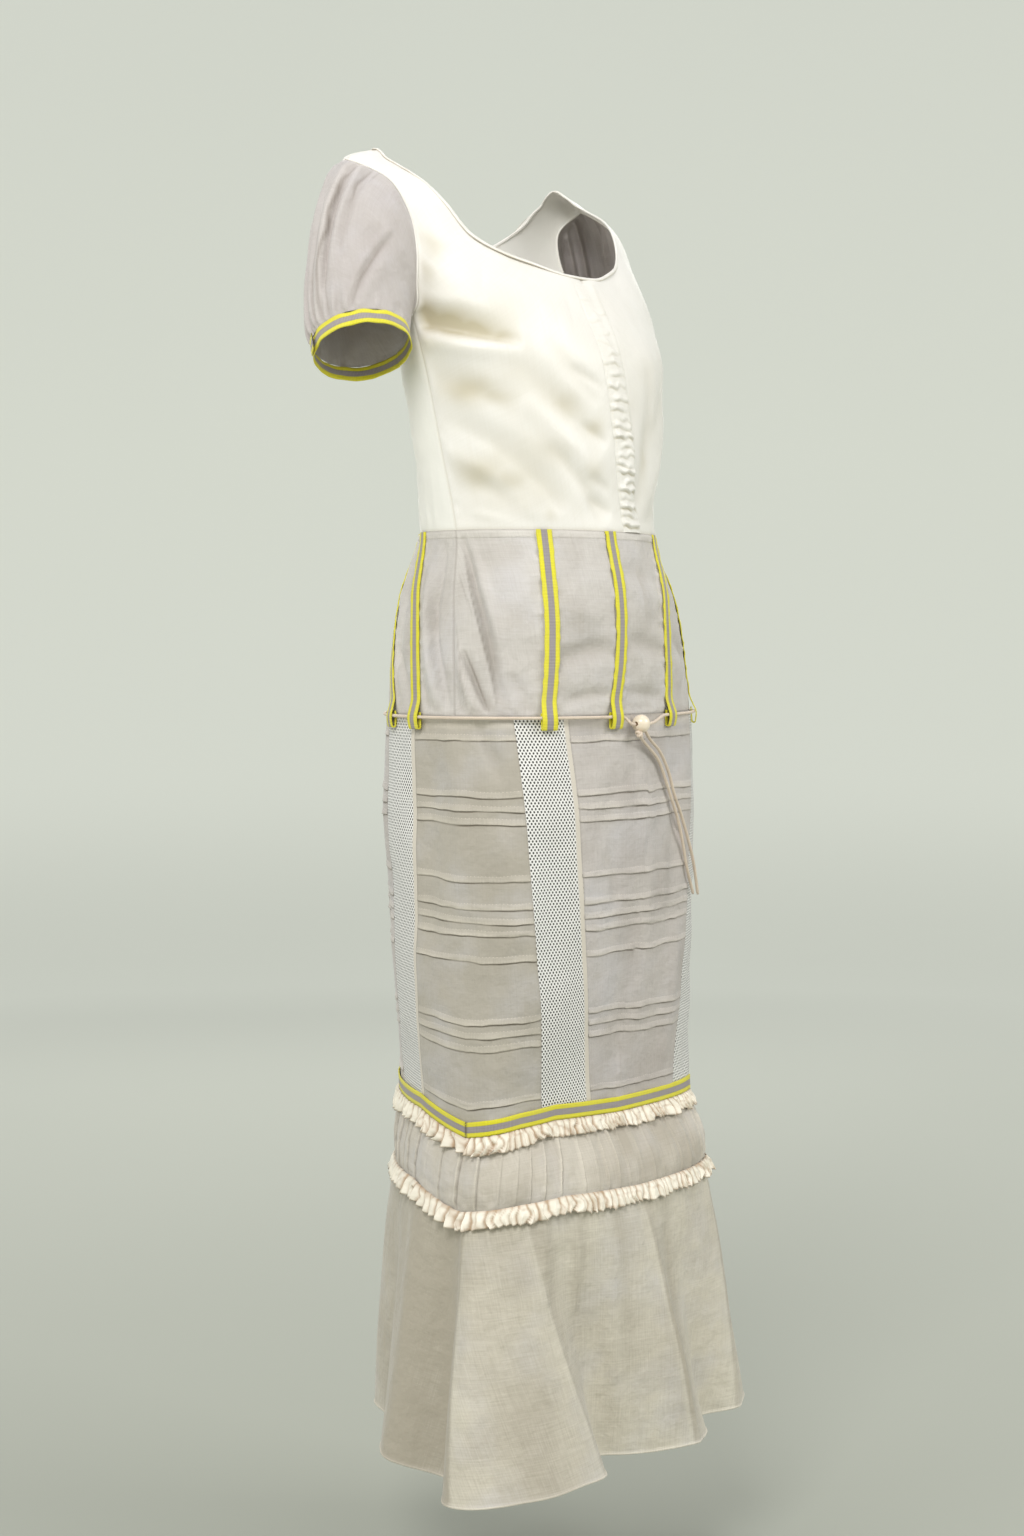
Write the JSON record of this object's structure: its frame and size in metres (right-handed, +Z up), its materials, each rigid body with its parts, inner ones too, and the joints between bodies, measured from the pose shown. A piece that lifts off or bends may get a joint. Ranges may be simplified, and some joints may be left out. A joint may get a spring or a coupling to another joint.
{
  "type": "patchwork dress",
  "caption": "Patchwork dress with puff sleeves, satin bodice, taped hip yoke with drawstring, tucked and mesh-panelled skirt, ruffled tier and flared flounce.",
  "frame": {"origin": "between the shoulders, where the wearer holds the dress up", "axes": "+Z up, -Y towards the front of the dress, +X towards the wearer's left"},
  "size_m": [0.5079, 0.3369, 1.2505],
  "materials": {
    "satin": "ivory satin",
    "voile": "taupe voile",
    "sleeve_voile": "taupe voile, fine and slightly sheer",
    "mesh": "white knitted mesh",
    "tape": "ribbed tape, yellow with a grey middle",
    "ruffle": "cream satin",
    "cord": "peach cord, matt",
    "bead": "cream, half gloss"
  },
  "bodies": {
    "root": {"bodice_front_right": "satin", "bodice_front_left": "satin", "bodice_back": "satin", "neck_binding": "satin", "placket": "satin", "sleeve_right": "sleeve_voile", "sleeve_left": "sleeve_voile", "cuff_tape_right": "tape", "cuff_tape_left": "tape", "yoke_front": "voile", "yoke_back": "voile", "yoke_tape_front_right_outer": "tape", "yoke_tape_front_right": "tape", "yoke_tape_front_left": "tape", "yoke_tape_front_left_outer": "tape", "yoke_tape_side_left": "tape", "yoke_tape_back_left_outer": "tape", "yoke_tape_back_left": "tape", "yoke_tape_back_right": "tape", "yoke_tape_back_right_outer": "tape", "yoke_tape_side_right": "tape", "drawstring": "cord", "bead": "bead", "cord_knot": "cord", "cord_end_upper": "cord", "cord_end_lower": "cord", "skirt_front": "voile", "skirt_side_left": "voile", "skirt_back": "voile", "skirt_side_right": "voile", "mesh_front_left": "mesh", "mesh_back_left": "mesh", "mesh_back_right": "mesh", "mesh_front_right": "mesh", "hem_tape": "tape", "ruffle_upper": "ruffle", "tier_front": "voile", "tier_back": "voile", "ruffle_lower": "ruffle", "flounce_front": "voile", "flounce_back": "voile"}
  },
  "joints": []
}
